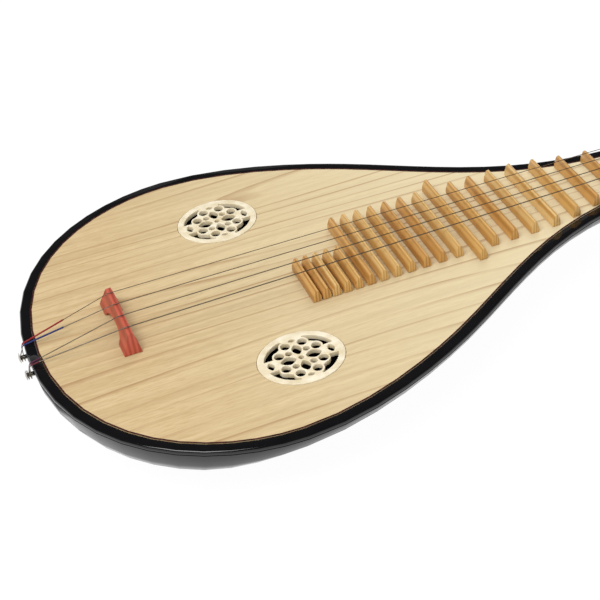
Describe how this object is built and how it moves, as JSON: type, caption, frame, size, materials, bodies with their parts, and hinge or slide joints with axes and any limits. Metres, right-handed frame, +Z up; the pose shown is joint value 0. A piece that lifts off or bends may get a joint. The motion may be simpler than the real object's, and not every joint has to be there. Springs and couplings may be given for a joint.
{
  "type": "liuqin",
  "caption": "Small pear-shaped plucked lute with a carved back, oval rosettes, tall frets, a red bridge and turning tuning pegs.",
  "frame": {"origin": "on the surface that the instrument lies on, under the middle of its bounding box", "axes": "+X from the tail along the strings to the head, +Y to the treble side, +Z up out of the soundboard"},
  "size_m": [0.6502, 0.242, 0.0535],
  "materials": {
    "lacquer": "glossy black lacquer on hardwood",
    "soundboard_wood": "bare satin paulownia",
    "bamboo": "satin bamboo",
    "bridge_wood": "satin red hardwood",
    "bone": "ivory-coloured bone or resin",
    "inner_wood": "bare spruce",
    "peg_wood": "polished rosewood",
    "nickel": "nickel plate",
    "string_steel": "plain and wound steel, silk at the tail"
  },
  "bodies": {
    "body": {"back_shell": "lacquer", "neck": "lacquer", "soundboard": "soundboard_wood", "rim_left": "lacquer", "rim_right": "lacquer", "rosette_left": "bone", "rosette_right": "bone", "brace_tail": "inner_wood", "brace_middle": "inner_wood", "brace_neck": "inner_wood", "tail_block": "inner_wood", "sound_post": "inner_wood", "bridge": "bridge_wood", "nut": "bone", "pegbox": "lacquer", "head_ornament": "bone", "tail_pin_1": "nickel", "tail_pin_2": "nickel", "fret_01": "bamboo", "fret_02": "bamboo", "fret_03": "bamboo", "fret_04": "bamboo", "fret_05": "bamboo", "fret_06": "bamboo", "fret_07": "bamboo", "fret_08": "bamboo", "fret_09": "bamboo", "fret_10": "bamboo", "fret_11": "bamboo", "fret_12": "bamboo", "fret_13": "bamboo", "fret_14": "bamboo", "fret_15": "bamboo", "fret_16": "bamboo", "fret_17": "bamboo", "fret_18": "bamboo", "fret_19": "bamboo", "fret_20": "bamboo", "fret_21": "bamboo", "fret_22": "bamboo", "fret_23": "bamboo", "fret_24": "bamboo", "string_1": "string_steel", "string_2": "string_steel", "string_3": "string_steel", "string_4": "string_steel"},
    "peg_1_turning": {"peg_1": "peg_wood", "peg_cap_1": "bone"},
    "peg_2_turning": {"peg_2": "peg_wood", "peg_cap_2": "bone"},
    "peg_3_turning": {"peg_3": "peg_wood", "peg_cap_3": "bone"},
    "peg_4_turning": {"peg_4": "peg_wood", "peg_cap_4": "bone"}
  },
  "joints": [
    {"name": "peg_1_turn", "type": "hinge", "parent": "body", "child": "peg_1_turning", "pos_m": [0.1521, 0, 0.02769], "axis": [0, 1, 0], "continuous": true},
    {"name": "peg_2_turn", "type": "hinge", "parent": "body", "child": "peg_2_turning", "pos_m": [0.2061, 0, 0.02248], "axis": [0, 1, 0], "continuous": true},
    {"name": "peg_3_turn", "type": "hinge", "parent": "body", "child": "peg_3_turning", "pos_m": [0.2331, 0, 0.01988], "axis": [0, -1, 0], "continuous": true},
    {"name": "peg_4_turn", "type": "hinge", "parent": "body", "child": "peg_4_turning", "pos_m": [0.1791, 0, 0.02509], "axis": [0, -1, 0], "continuous": true}
  ]
}
